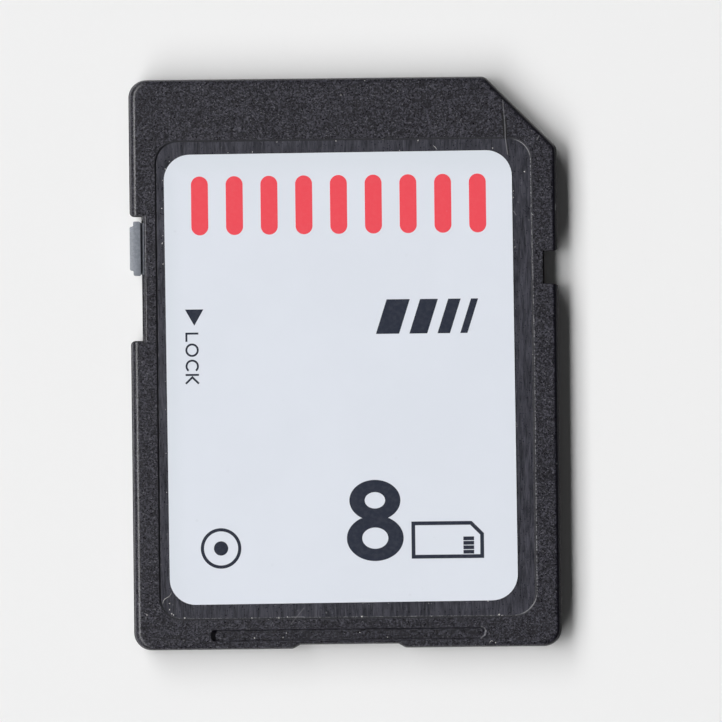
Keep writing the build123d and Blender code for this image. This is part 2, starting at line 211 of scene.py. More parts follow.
class Tree:
    """Adds and links the nodes of one tree, so that a finish reads as a list of steps."""

    def __init__(self, tree):
        self.tree = tree

    def put(self, socket, value):
        """Links an output to a socket, or sets a plain value on it."""
        if isinstance(value, bpy.types.NodeSocket):
            self.tree.links.new(value, socket)
        else:
            socket.default_value = value

    def add(self, kind, inputs=None, **options):
        """New node with its options; its inputs, by name or number, are linked or set."""
        node = self.tree.nodes.new(kind)
        for name, value in options.items():
            setattr(node, name, value)
        for label, value in (inputs or {}).items():
            self.put(node.inputs[label], value)
        return node

    def math(self, operation, *values, clamp=False):
        inputs = dict(enumerate(values))
        return self.add("ShaderNodeMath", inputs, operation=operation, use_clamp=clamp).outputs[0]

    def times(self, first, *others):
        """Product of several values."""
        for other in others:
            first = self.math("MULTIPLY", first, other)
        return first

    def plus(self, first, second):
        return self.math("ADD", first, second)

    def either(self, first, second):
        """The larger of two masks, so that a point counts where it lies in one of them."""
        return self.math("MAXIMUM", first, second)

    def vector(self, operation, *values):
        node = self.add("ShaderNodeVectorMath", dict(enumerate(values)), operation=operation)
        scalar = operation in ("LENGTH", "DOT_PRODUCT", "DISTANCE")
        return node.outputs["Value" if scalar else "Vector"]

    def scaled(self, vector, factor):
        inputs = {"Vector": vector, "Scale": factor}
        return self.add("ShaderNodeVectorMath", inputs, operation="SCALE").outputs["Vector"]

    def ramp(self, value, low, high):
        """Smooth step from zero at the low mark to one at the high mark; low may be the larger."""
        inputs = {"Value": value, "From Min": low, "From Max": high}
        return self.add("ShaderNodeMapRange", inputs, interpolation_type="SMOOTHSTEP").outputs["Result"]

    def span(self, value, low, high):
        """Value from zero to one, spread over the range between two numbers."""
        inputs = {"Value": value, "To Min": low, "To Max": high}
        return self.add("ShaderNodeMapRange", inputs).outputs["Result"]

    def mix(self, factor, first, second):
        """Blend of two colours; the node's colour sockets are its inputs 6 and 7 and its output 2."""
        inputs = {"Factor": factor}
        for number, value in ((6, first), (7, second)):
            inputs[number] = value if isinstance(value, bpy.types.NodeSocket) else (*value, 1)
        return self.add("ShaderNodeMix", inputs, data_type="RGBA").outputs[2]

    def noise(self, vector, scale=1.0, detail=2.0, roughness=0.5):
        inputs = {"Vector": vector, "Scale": scale, "Detail": detail, "Roughness": roughness}
        return self.add("ShaderNodeTexNoise", inputs).outputs["Fac"]

    def cells(self, vector):
        """Random cells of size one: the distance from a cell's middle, and a random number for each."""
        node = self.add("ShaderNodeTexVoronoi", {"Vector": vector, "Scale": 1.0})
        red = self.add("ShaderNodeSeparateColor", {0: node.outputs["Color"]})
        return node.outputs["Distance"], red.outputs[0]

    def parts(self, vector):
        """The parts of a vector along X, Y and Z."""
        return self.add("ShaderNodeSeparateXYZ", {0: vector}).outputs

    def group(self, name, **inputs):
        """Places a shared effect; an input's spaces are written as underscores."""
        labelled = {label.replace("_", " ").capitalize(): value for label, value in inputs.items()}
        return self.add("ShaderNodeGroup", labelled, node_tree=bpy.data.node_groups[name]).outputs


# Factors that flatten a vector onto the card's front
FLAT = (1, 1, 0)


def moulded_grain(nodes, place, size):
    """Spark-eroded face: small cells of random height, and a mask of the few that catch the light."""
    fine = nodes.vector("DIVIDE", place, size)
    distance, chance = nodes.cells(fine)
    waves = nodes.noise(fine, scale=0.7, roughness=0.6)
    height = nodes.plus(nodes.times(chance, 0.7), nodes.times(waves, 0.3))
    glint = nodes.times(nodes.ramp(chance, 0.95, 1.0), nodes.ramp(distance, 0.6, 0.2))
    return height, glint


def drawn_streaks(nodes, place, across, along):
    """Streaks along the card: noise that is drawn out along Y."""
    stretch = nodes.add("ShaderNodeCombineXYZ", {0: across, 1: along, 2: across}).outputs[0]
    return (nodes.noise(nodes.vector("DIVIDE", place, stretch), detail=4.0, roughness=0.65),)


def rounded_frame(nodes, place, centre, half_size, radius):
    """Distance from the outline of a rounded rectangle, negative inside it."""
    flat = nodes.vector("MULTIPLY", nodes.vector("SUBTRACT", place, centre), FLAT)
    inner = nodes.vector("SUBTRACT", half_size, nodes.scaled(FLAT, radius))
    past_inner = nodes.vector("SUBTRACT", nodes.vector("ABSOLUTE", flat), inner)
    beyond = nodes.vector("MAXIMUM", past_inner, (0, 0, 0))
    return (nodes.math("SUBTRACT", nodes.vector("LENGTH", beyond), radius),)


def scratch_line(nodes, place, start, end, width):
    """Mask of a straight scratch: one along the line between two points, fading over its width."""
    reach = nodes.vector("SUBTRACT", end, start)
    away = nodes.vector("SUBTRACT", nodes.vector("MULTIPLY", place, FLAT), start)
    share = nodes.math("DIVIDE", nodes.vector("DOT_PRODUCT", away, reach),
                       nodes.vector("DOT_PRODUCT", reach, reach), clamp=True)
    distance = nodes.vector("DISTANCE", away, nodes.scaled(reach, share))
    return (nodes.ramp(distance, width, 0.0),)


def dust_specks(nodes, place, size, share):
    """Mask of fine specks: a random share of cells holds one, each of its own size."""
    distance, chance = nodes.cells(nodes.vector("DIVIDE", place, size))
    kept = nodes.ramp(chance, nodes.math("SUBTRACT", 1.0, share), 1.0)
    return (nodes.times(kept, nodes.ramp(distance, 0.35, 0.1)),)


NUMBER = "NodeSocketFloat"
TRIPLE = "NodeSocketVector"
# Effects that the finishes place: the function that builds each, its inputs and its outputs
EFFECTS = {
    "moulded grain": (moulded_grain, {"Place": TRIPLE, "Size": TRIPLE}, ("Height", "Glint")),
    "drawn streaks": (drawn_streaks, {"Place": TRIPLE, "Across": NUMBER, "Along": NUMBER}, ("Streak",)),
    "rounded frame": (rounded_frame, {"Place": TRIPLE, "Centre": TRIPLE, "Half size": TRIPLE,
                                      "Radius": NUMBER}, ("Distance",)),
    "scratch line": (scratch_line, {"Place": TRIPLE, "Start": TRIPLE, "End": TRIPLE,
                                    "Width": NUMBER}, ("Mask",)),
    "dust specks": (dust_specks, {"Place": TRIPLE, "Size": TRIPLE, "Share": NUMBER}, ("Mask",)),
}


def shared_effects():
    """Makes a shader node group with named sockets for each effect."""
    for name, (build, inputs, outputs) in EFFECTS.items():
        tree = bpy.data.node_groups.new(name, "ShaderNodeTree")
        for label, kind in inputs.items():
            tree.interface.new_socket(label, in_out="INPUT", socket_type=kind)
        for label in outputs:
            tree.interface.new_socket(label, in_out="OUTPUT", socket_type=NUMBER)
        nodes = Tree(tree)
        entry = nodes.add("NodeGroupInput")
        built = build(nodes, *entry.outputs[:len(inputs)])
        nodes.add("NodeGroupOutput", dict(enumerate(built)))


class Finish(Tree):
    """Tree of one finish, with its shader, and places on the object in millimetres."""

    def __init__(self, name, **sockets):
        self.material = bpy.data.materials.new(name)
        self.material.use_nodes = True
        self.material.node_tree.nodes.clear()
        super().__init__(self.material.node_tree)
        self.shader = self.add("ShaderNodeBsdfPrincipled")
        self.feed(**sockets)
        self.add("ShaderNodeOutputMaterial", {"Surface": self.shader.outputs[0]})
        self.place = self.scaled(self.add("ShaderNodeTexCoord").outputs["Object"], PER_MM)

    def feed(self, **sockets):
        """Links or sets the shader's inputs; an input's spaces are written as underscores."""
        for label, value in sockets.items():
            self.put(self.shader.inputs[label.replace("_", " ")], value)

    def bump(self, height, depth):
        """Feeds a height from zero to one to the shader's normal; depth is its real height."""
        node = self.add("ShaderNodeBump", {"Strength": 1.0, "Distance": depth, "Height": height})
        self.feed(Normal=node.outputs[0])

    def grain(self, size):
        """Moulded grain of a size in metres: its height and its glints."""
        return self.group("moulded grain", place=self.place, size=(size * PER_MM,) * 3)

    def streaks(self, across, along):
        """Streaks along the card, of a width and a length in millimetres."""
        return self.group("drawn streaks", place=self.place, across=across, along=along)["Streak"]

    def specks(self, size, share):
        """Mask of fine specks, for a share of the cells of a size in millimetres."""
        return self.group("dust specks", place=self.place, size=(size,) * 3, share=share)["Mask"]


def dress(names, material):
    """Puts one finish on CAD nodes."""
    for name in names:
        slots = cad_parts[name].data.materials
        slots.clear()
        slots.append(material)


# Scratches on the front face, and a painted highlight at the nail groove's right end, as (start, end,
# width, strength), in millimetres on the card
PALE_SCRATCHES_AND_GROOVE_HIGHLIGHT = (
    ((9.00, 14.65), (9.11, 13.25), 0.045, 0.3),
    ((9.11, 13.25), (9.12, 12.58), 0.045, 0.4),
    ((9.12, 12.58), (9.24, 11.62), 0.045, 0.4),
    ((11.02, 12.64), (10.90, 12.42), 0.05, 0.3),
    ((9.55, 8.42), (9.68, 8.20), 0.04, 0.3),
    ((11.89, 8.79), (11.89, 8.45), 0.04, 0.25),
    ((-10.50, -13.53), (-10.65, -13.88), 0.05, 0.12),
    ((-3.19, -14.59), (-2.45, -13.70), 0.05, 0.16),
    ((-3.18, -14.19), (-2.45, -14.20), 0.04, 0.22),
    ((-1.78, -13.59), (-1.78, -14.18), 0.04, 0.12),
    ((3.52, -14.24), (3.82, -14.24), 0.04, 0.3),
    # The last four draw no scratch: they paint a highlight on the lit right end of the nail groove
    ((7.48, -14.84), (7.66, -14.93), 0.06, 0.3),
    ((7.66, -14.93), (7.73, -15.10), 0.06, 0.36),
    ((7.73, -15.10), (7.67, -15.32), 0.06, 0.4),
    ((7.67, -15.32), (7.45, -15.51), 0.06, 0.36),
)
DARK_SCRATCHES = (
    ((8.99, 13.90), (9.04, 12.60), 0.08, 1.0),
    ((9.17, 13.60), (9.20, 12.60), 0.08, 1.0),
    ((9.19, 12.50), (9.31, 11.65), 0.07, 0.8),
)


def marked(finish, base, tone, scratches):
    """Colour with a row of lines mixed in, each at its own strength: scratches, and among the pale ones a
    painted highlight.
    """
    for start, end, width, strength in scratches:
        mask = finish.group("scratch line", place=finish.place, start=(*start, 0), end=(*end, 0),
                            width=width)["Mask"]
        base = finish.mix(finish.times(mask, strength), base, tone)
    return base


def recess_sides():
    """Left, right, rear and front side of the label recess at the front face, in metres."""
    own = settings("card_covers")
    return (cad_low.x + own.recess_left, cad_high.x - own.recess_right,
            cad_low.y + own.recess_trailing, cad_high.y - own.recess_leading)


def recess_masks(finish):
    """Masks of the label recess: its floor, its walls that face the lamps, for a painted highlight, and the
    pale line along them, which is partly dust and partly painted highlight.

    The last mask is of all that lies as high as the recess floor or higher. Lengths are in millimetres.
    """
    fade = 0.01
    line_width = 0.045
    line_outset = 0.02
    left_shade = 0.15
    foot_near = 0.1
    foot_far = 0.4
    foot_line_share = 0.7
    side_line_share = 1.2
    own = settings("card_covers")
    across, along, up = finish.parts(finish.place)
    left, right, rear, front = (side * PER_MM for side in recess_sides())
    radius = own.recess_radius * PER_MM
    width = own.recess_wall_width * PER_MM
    floor_z = LABEL_FLOOR_Z * PER_MM
    middle_y = (rear + front) / 2

    rim = finish.group("rounded frame", place=finish.place, centre=((left + right) / 2, middle_y, 0),
                       half_size=((right - left) / 2, (front - rear) / 2, 0), radius=radius)["Distance"]
    upper = finish.ramp(up, floor_z - 3 * fade, floor_z - fade)
    floor = finish.times(finish.ramp(rim, fade / 2 - width, -1.5 * fade - width), upper)
    inside = finish.times(finish.ramp(rim, fade, -fade), upper)
    at_foot = finish.ramp(along, rear + radius, rear + 0.5 * radius)
    at_head = finish.ramp(along, front - radius, front - 0.5 * radius)
    # Painted highlight: all the recess walls but the one on the lock side, which faces away from the lamps
    past_left = finish.either(finish.ramp(across, left + left_shade, left + radius), at_foot)
    wall = finish.times(finish.math("SUBTRACT", inside, floor, clamp=True), past_left)

    # The pale line runs just outside the rim, and goes over to the wall's foot at both ends; it lies on the
    # latch side, at the foot and in the latch-side corners, and is partly dust and partly painted highlight
    at_ends = finish.either(finish.ramp(along, rear + 1.2 * radius, rear),
                            finish.ramp(along, middle_y, front))
    off_line = finish.plus(rim, finish.span(at_ends, -line_outset, width))
    near = finish.times(finish.ramp(finish.math("ABSOLUTE", off_line), line_width, 0.0), upper)
    right_side = finish.ramp(across, right - radius, right - 0.4 * radius)
    dots = finish.ramp(finish.noise(finish.place, scale=8.0, detail=3.0, roughness=0.65), 0.43, 0.64)
    foot = finish.times(finish.ramp(along, rear + foot_far, rear + foot_near), past_left, foot_line_share)
    sides = finish.times(finish.either(foot, finish.times(right_side, side_line_share)), dots)
    corners = finish.times(right_side, finish.either(at_foot, at_head), finish.span(dots, 0.8, 1.3))
    return floor, wall, finish.times(near, finish.either(sides, corners)), upper


def cover_finish():
    """Black moulded plastic: grainy outside and streaked in the label recess. It has painted highlight on
    the recess walls, a pale line of dust and painted highlight along them, and painted shade where the
    faces turn to the latch side.
    """
    rim_line_share = 0.6
    speck_strength = 0.25
    matt_roughness = 0.5
    scratch_fade = 0.2
    own = settings("card_covers")
    finish = Finish("textured black plastic", Specular_IOR_Level=0.5)
    floor, wall, rim_dust_and_highlight, upper = recess_masks(finish)

    # Painted shade: faces that turn to the latch side, away from the lamps, lose their grain and keep the
    # dark plastic colour; those that face it most are matt
    latch_facing = finish.parts(finish.add("ShaderNodeTexCoord").outputs["Normal"])[0]
    grain_outside_painted_shade = finish.ramp(latch_facing, 0.4, 0.12)
    matt = finish.ramp(latch_facing, 0.66, 0.76)

    grain = finish.grain(own.grain_size)
    fine_streak = finish.streaks(across=0.09, along=0.8)
    wide_streak = finish.streaks(across=0.4, along=3.0)
    streak = finish.plus(finish.times(fine_streak, 0.6), finish.times(wide_streak, 0.4))
    drawn = finish.plus(grain["Height"], finish.span(streak, -0.25, 0.25))
    pale_share = finish.math("POWER", finish.ramp(drawn, 0.18, 0.88), 2.0)
    grainy = finish.mix(pale_share, own.plastic, own.plastic_pale)
    grainy = finish.mix(grain["Glint"], grainy, own.glint)
    # Painted shade on the latch side: the dark plastic colour without the pale grain
    grainy = finish.mix(grain_outside_painted_shade, own.plastic, grainy)
    streaked = finish.mix(finish.ramp(streak, 0.34, 0.66), own.recess_dark, own.recess_pale)
    face = finish.mix(floor, grainy, streaked)
    # Painted highlight on the recess walls that face the lamps
    face = finish.mix(wall, face, own.recess_wall_highlight)
    # Pale line along the recess rim: dust together with painted highlight
    face = finish.mix(finish.times(rim_dust_and_highlight, rim_line_share), face, own.dust)
    specks = finish.specks(size=0.2, share=0.02)
    face = finish.mix(finish.times(specks, upper, speck_strength), face, own.dust)

    # Only the front half of the card gets the scratches and the painted highlight at the nail groove's end
    scratched_and_highlit = marked(finish, face, own.dust, PALE_SCRATCHES_AND_GROOVE_HIGHLIGHT)
    scratched_and_highlit = marked(finish, scratched_and_highlit, own.scratch, DARK_SCRATCHES)
    middle_z = FRONT_Z * PER_MM / 2
    front_half = finish.ramp(finish.parts(finish.place)[2], middle_z, middle_z + scratch_fade)
    gloss = finish.plus(finish.span(grain["Height"], 0.26, 0.34), finish.times(matt, matt_roughness))
    finish.feed(Base_Color=finish.mix(front_half, face, scratched_and_highlit), Roughness=gloss)

    bumpy = finish.times(finish.math("SUBTRACT", grain_outside_painted_shade, floor, clamp=True), grain["Height"])
    finish.bump(finish.plus(bumpy, finish.times(floor, streak)), own.grain_depth)
    return finish.material


def slider_finish():
    """Grey moulded plastic with a faint grain."""
    paler = 1.2
    speck_strength = 0.4
    own = settings("card_slider")
    finish = Finish("grey slider plastic", Specular_IOR_Level=0.35)
    height = finish.grain(own.grain_size)["Height"]
    pale = tuple(min(1.0, part * paler) for part in own.plastic)
    tone = finish.mix(finish.ramp(height, 0.3, 0.7), own.plastic, pale)
    dusty = finish.times(finish.specks(size=0.2, share=0.03), speck_strength)
    finish.feed(Base_Color=finish.mix(dusty, tone, own.dust), Roughness=finish.span(height, 0.38, 0.52))
    finish.bump(height, own.grain_depth)
    return finish.material


def label_finish():
    """White film: faint clouds, darker towards its left and top edges, a fine tooth and a little dust."""
    darkened_share = 0.6
    speck_strength = 0.12
    own = settings("card_label")
    finish = Finish("white label film", Specular_IOR_Level=0.3)
    clouds = finish.noise(finish.place, scale=0.25)
    tone = finish.mix(finish.ramp(clouds, 0.3, 0.7), own.film, own.film_shade)
    across, along = finish.parts(finish.place)[:2]
    left = label_low.x * PER_MM
    head = label_high.y * PER_MM
    # Film darkened towards the left and top edges
    darkened = finish.either(finish.ramp(across, left + 1.2, left + 0.1),
                            finish.ramp(along, head - 1.8, head - 0.2))
    tone = finish.mix(finish.times(darkened, darkened_share), tone, own.film_darkened)
    dusty = finish.times(finish.specks(size=0.35, share=0.012), speck_strength)
    tooth = finish.noise(finish.place, scale=9.0, detail=3.0)
    finish.feed(Base_Color=finish.mix(dusty, tone, own.speck), Roughness=finish.span(tooth, 0.42, 0.56))
    finish.bump(tooth, own.tooth_depth)
    return finish.material


def ink_finish(name, tone):
    """Printed ink: slightly mottled, with pinholes where the film shows."""
    thinning = 0.012
    hole_strength = 0.3
    own = settings("card_label")
    finish = Finish(name, Specular_IOR_Level=0.3)
    thin = tuple(part + thinning * (1 - part) for part in tone)
    mottle = finish.ramp(finish.noise(finish.place, scale=5.0, detail=3.0), 0.35, 0.75)
    holes = finish.times(finish.specks(size=0.2, share=0.01), hole_strength)
    finish.feed(Base_Color=finish.mix(holes, finish.mix(mottle, tone, thin), own.pinhole),
                Roughness=finish.span(finish.noise(finish.place, scale=8.0), 0.42, 0.55))
    return finish.material


def contact_finish():
    """Gold plating with fine wipe marks along the card."""
    own = settings("card_board")
    finish = Finish("gold plating", Metallic=1.0)
    streak = finish.streaks(across=0.09, along=3.0)
    finish.feed(Base_Color=finish.mix(finish.ramp(streak, 0.35, 0.7), own.gold, own.gold_wiped),
                Roughness=finish.span(streak, 0.2, 0.42))
    finish.bump(streak, own.wipe_depth)
    return finish.material


def board_finish():
    """Green solder mask over faint copper tracks."""
    own = settings("card_board")
    finish = Finish("green solder mask", Coat_Weight=0.3)
    tracks = finish.ramp(finish.streaks(across=0.4, along=6.0), 0.5, 0.53)
    finish.feed(Base_Color=finish.mix(tracks, own.mask, own.track),
                Roughness=finish.span(finish.noise(finish.place, scale=6.0), 0.28, 0.4))
    finish.bump(tracks, own.track_height)
    return finish.material


def package_finish():
    """Black moulding compound of a chip."""
    own = settings("card_board")
    finish = Finish("black chip package", Specular_IOR_Level=0.35)
    height = finish.grain(own.package_grain)["Height"]
    finish.feed(Base_Color=finish.mix(height, own.package, own.package_pale),
                Roughness=finish.span(height, 0.5, 0.65))
    finish.bump(height, own.package_depth)
    return finish.material


def lead_finish():
    """Tinned leads."""
    own = settings("card_board")
    finish = Finish("tinned leads", Metallic=1.0)
    clouds = finish.noise(finish.place, scale=12.0, detail=3.0)
    finish.feed(Base_Color=finish.mix(clouds, own.tin, own.lead_bright),
                Roughness=finish.span(clouds, 0.3, 0.45))
    return finish.material


def passive_finish(name, nodes_of_kind, body, body_pale):
    """Ceramic body between two tinned end caps; the caps are found from the parts' places along X."""
    fade = 0.005
    own = settings("card_board")
    finish = Finish(name)
    low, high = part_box(nodes_of_kind[0])
    middle = (low.x + high.x) / 2 * PER_MM
    reach = ((high.x - low.x) / 2 - own.cap_length) * PER_MM
    off_middle = finish.math("SUBTRACT", finish.parts(finish.place)[0], middle)
    cap = finish.ramp(finish.math("ABSOLUTE", off_middle), reach - fade, reach + fade)
    clouds = finish.noise(finish.place, scale=14.0, detail=3.0)
    ceramic = finish.mix(clouds, body, body_pale)
    tin = finish.mix(clouds, own.tin, own.cap_bright)
    finish.feed(Base_Color=finish.mix(cap, ceramic, tin), Metallic=cap,
                Roughness=finish.span(clouds, 0.35, 0.5))
    return finish.material


def dust_finish():
    """Pale lint and dust."""
    darker = 0.7
    own = settings("card_dust")
    finish = Finish("dust and lint", Specular_IOR_Level=0.2)
    grey = tuple(part * darker for part in own.lint)
    finish.feed(Base_Color=finish.mix(finish.noise(finish.place, scale=9.0), grey, own.lint),
                Roughness=finish.span(finish.noise(finish.place, scale=20.0), 0.6, 0.9))
    return finish.material


def grid_faces(rows, columns, wrap_rows=False, wrap_columns=False):
    """Quads of a grid of vertices numbered row by row, joined end to end where it wraps."""
    index = np.arange(rows * columns).reshape(rows, columns)
    if wrap_rows:
        index = np.vstack([index, index[:1]])
    if wrap_columns:
        index = np.hstack([index, index[:, :1]])
    quads = np.stack([index[:-1, :-1], index[:-1, 1:], index[1:, 1:], index[1:, :-1]], axis=-1)
    return quads.reshape(-1, 4)


def film(left, right, foot, top, closed):
    """Thin film between two edge curves.

    A rectangular section is carried along the curves: each row has the left edge at the foot and at the
    top, then the right edge at the top and at the foot. The first and last rows are capped, or joined to
    each other when closed.
    """
    rows = len(left)
    corners = np.zeros((rows, 4, 3))
    corners[:, :2, :2] = left[:, None]
    corners[:, 2:, :2] = right[:, None]
    corners[:, (0, 3), 2] = foot
    corners[:, (1, 2), 2] = top
    faces = grid_faces(rows, 4, closed, True)
    if not closed:
        caps = np.array([[3, 2, 1, 0], [0, 1, 2, 3]]) + np.array([[0], [4 * (rows - 1)]])
        faces = np.vstack([faces, caps])
    return corners.reshape(-1, 3), faces


def stroke(path, width, closed):
    """Left and right edges of a stroke: each point moves half the width along the path's mitred normal."""
    path = np.asarray(path, float)
    ahead = np.roll(path, -1, axis=0) - path
    if not closed:
        ahead[-1] = path[-1] - path[-2]
    ahead /= np.linalg.norm(ahead, axis=1, keepdims=True)
    behind = np.roll(ahead, 1, axis=0)
    if not closed:
        behind[0] = ahead[0]
    first = np.stack([-behind[:, 1], behind[:, 0]], axis=1)
    second = np.stack([-ahead[:, 1], ahead[:, 0]], axis=1)
    mitre = (first + second) / (1 + np.sum(first * second, axis=1, keepdims=True))
    return path + mitre * width / 2, path - mitre * width / 2


def arc(centre, radius_x, radius_y, start, end, count):
    """Points of an ellipse's arc, from one angle to another, in degrees."""
    turn = np.radians(np.linspace(start, end, count))
    return np.stack([centre[0] + radius_x * np.cos(turn), centre[1] + radius_y * np.sin(turn)], axis=1)


def ring(centre, radius_x, radius_y, count):
    """Points of a whole ellipse, taken clockwise and without the last point twice."""
    return arc(centre, radius_x, radius_y, 360, 0, count + 1)[:-1]


def tube(path, radius, sides=6):
    """Round section carried along a path: each row is a circle across the path, smaller at the ends."""
    blunt = 0.15
    path = np.asarray(path, float)
    ahead = np.gradient(path, axis=0)
    ahead /= np.linalg.norm(ahead, axis=1, keepdims=True)
    aside = np.cross(ahead, (0, 0, 1))
    aside /= np.linalg.norm(aside, axis=1, keepdims=True)
    over = np.cross(aside, ahead)
    turn = np.linspace(0, 2 * np.pi, sides, endpoint=False)[None, :, None]
    circle = np.cos(turn) * aside[:, None] + np.sin(turn) * over[:, None]
    taper = np.sin(np.linspace(blunt, np.pi - blunt, len(path)))[:, None, None] ** 0.5
    points = path[:, None] + circle * radius * taper
    faces = [tuple(face) for face in grid_faces(len(path), sides, False, True)]
    last = sides * (len(path) - 1)
    caps = [tuple(range(sides))[::-1], tuple(range(last, last + sides))]
    return points.reshape(-1, 3), faces + caps


def joined(shapes):
    """One list of vertices and faces from several."""
    points = []
    faces = []
    start = 0
    for vertices, quads in shapes:
        points.append(vertices)
        faces.extend(tuple(int(corner) + start for corner in face) for face in quads)
        start += len(vertices)
    return np.vstack(points), faces


def new_piece(name, shapes, material, smooth=False):
    """Object at the origin from several shapes, welded, riding on the card."""
    weld = 1e-8
    vertices, faces = joined(shapes)
    mesh = bpy.data.meshes.new(name)
    mesh.from_pydata(vertices, [], faces)
    shape = bmesh.new()
    shape.from_mesh(mesh)
    bmesh.ops.remove_doubles(shape, verts=shape.verts, dist=weld)
    bmesh.ops.dissolve_degenerate(shape, edges=shape.edges, dist=weld)
    bmesh.ops.recalc_face_normals(shape, faces=shape.faces)
    shape.to_mesh(mesh)
    shape.free()
    mesh.polygons.foreach_set("use_smooth", [smooth] * len(mesh.polygons))
    mesh.materials.append(material)
    piece = bpy.data.objects.new(name, mesh)
    bpy.context.scene.collection.objects.link(piece)
    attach(piece, CARD_BODY)


def ink(left, right, closed=False):
    """Film of ink on the label, from edge curves in millimetres."""
    own = settings("card_label")
    return film(left * MM, right * MM, LABEL_Z - own.ink_foot, LABEL_Z + own.ink_height, closed)


def line(path, width, closed=False):
    """Stroke of ink along a path in millimetres."""
    return ink(*stroke(path, width, closed), closed)


# Where the marks of the label stand, in millimetres on the card
HEADING_LEFT = -8.53
HEADING_RIGHT = 8.0
HEADING_LOW = 7.25
HEADING_HIGH = 10.55
SLANT_LEFT = 1.75
SLANT_RIGHT = 7.5
SLANT_LOW = 1.62
SLANT_HIGH = 3.55
SLANT_LEAN = 0.62
SLANT_WIDTHS = (1.3, 1.0, 0.7, 0.4)
ARROW_LEFT = -8.94
ARROW_RIGHT = -7.91
ARROW_TOP = 3.1
ARROW_TIP = 2.19
RING_CENTRE = (-7.06, -10.31)
RING_RADIUS = 1.135
RING_STROKE = 0.18
RING_DOT = 0.4
NUMERAL_LEFT = 0.0
NUMERAL_RIGHT = 3.18
NUMERAL_LOW = -11.11
NUMERAL_HIGH = -6.56
NUMERAL_STROKE = 0.86
CARD_SIGN_LEFT = 3.62
CARD_SIGN_RIGHT = 7.68
CARD_SIGN_LOW = -11.0
CARD_SIGN_HIGH = -8.92
CARD_SIGN_STROKE = 0.21
CARD_SIGN_CUT = 0.62

# Ticks of the card sign: how many, and where they begin and end, measured from its right side
TICK_COUNT = 4
TICK_FAR = 1.05
TICK_NEAR = 0.45

# Shares of the numeral: its waist's height, its upper ring's width, and of its stroke the part by which
# a ring reaches past the waist and the part that is left at the top and the foot
WAIST_SHARE = 0.53
UPPER_SHARE = 0.9
OVERLAP_SHARE = 0.18
THIN_SHARE = 0.8

# The switch's word: its foot across the card, and each letter's place along the reading line
LETTER_FOOT = -8.93
LETTER_HEIGHT = 0.73
LETTER_STROKE = 0.11
LETTER_OVERSHOOT = 0.01
L_LEFT = -1.75
L_RIGHT = -1.29
O_MIDDLE = -0.82
C_MIDDLE = 0.085
C_OPENING = 40
K_STEM = 0.567
K_JOIN = 0.70
K_RIGHT = 1.06


def heading_bars():
    """Row of upright bars with round ends: two half circles and the straight sides between them."""
    own = settings("card_label")
    half = own.bar_width * PER_MM / 2
    middles = np.linspace(HEADING_LEFT + half, HEADING_RIGHT - half, own.bar_count)
    shapes = []
    for middle in middles:
        left = np.vstack([arc((middle, HEADING_LOW + half), half, half, 270, 180, count=16),
                          arc((middle, HEADING_HIGH - half), half, half, 180, 90, count=16)])
        right = left * (-1, 1) + (2 * middle, 0)
        shapes.append(ink(left, right))
    return shapes


def slanted_bars():
    """Four leaning bars that get narrower: straight edges, shifted to the right with height."""
    gap = (SLANT_RIGHT - SLANT_LEFT - SLANT_LEAN - sum(SLANT_WIDTHS)) / (len(SLANT_WIDTHS) - 1)
    shapes = []
    start = SLANT_LEFT
    for width in SLANT_WIDTHS:
        left = np.array([(start, SLANT_LOW), (start + SLANT_LEAN, SLANT_HIGH)])
        shapes.append(ink(left, left + (width, 0)))
        start += width + gap
    return shapes


def switch_arrow():
    """Solid arrow that points along the slider's way to its locked end: two edges that meet at the tip."""
    middle = (ARROW_LEFT + ARROW_RIGHT) / 2
    left = np.array([(middle, ARROW_TIP), (ARROW_LEFT, ARROW_TOP)])
    right = np.array([(middle, ARROW_TIP), (ARROW_RIGHT, ARROW_TOP)])
    return [ink(left, right)]


def switch_letters():
    """The switch's word, read downwards: strokes along the reading line, turned a quarter clockwise."""
    low = LETTER_STROKE / 2
    middle = LETTER_HEIGHT / 2
    radius = middle - low + LETTER_OVERSHOOT
    strokes = [
        ([(L_LEFT, LETTER_HEIGHT), (L_LEFT, low), (L_RIGHT, low)], False),
        (ring((O_MIDDLE, middle), radius, radius, count=40), True),
        (arc((C_MIDDLE, middle), radius, radius, C_OPENING, 360 - C_OPENING, count=32), False),
        ([(K_STEM, -LETTER_OVERSHOOT), (K_STEM, LETTER_HEIGHT + LETTER_OVERSHOOT)], False),
        ([(K_RIGHT, LETTER_HEIGHT), (K_JOIN, middle), (K_RIGHT, 0.0)], False),
    ]
    shapes = []
    for path, closed in strokes:
        reading = np.asarray(path, float)
        turned = np.stack([LETTER_FOOT + reading[:, 1], -reading[:, 0]], axis=1)
        shapes.append(line(turned, LETTER_STROKE, closed))
    return shapes


def ring_and_dot():
    """Plain ring round a solid dot: circles about one centre."""
    radius = RING_RADIUS - RING_STROKE / 2
    dot_left = arc(RING_CENTRE, RING_DOT, RING_DOT, 270, 90, count=24)
    dot_right = dot_left * (-1, 1) + (2 * RING_CENTRE[0], 0)
    circle = ring(RING_CENTRE, radius, radius, count=96)
    return [line(circle, RING_STROKE, True), ink(dot_left, dot_right)]


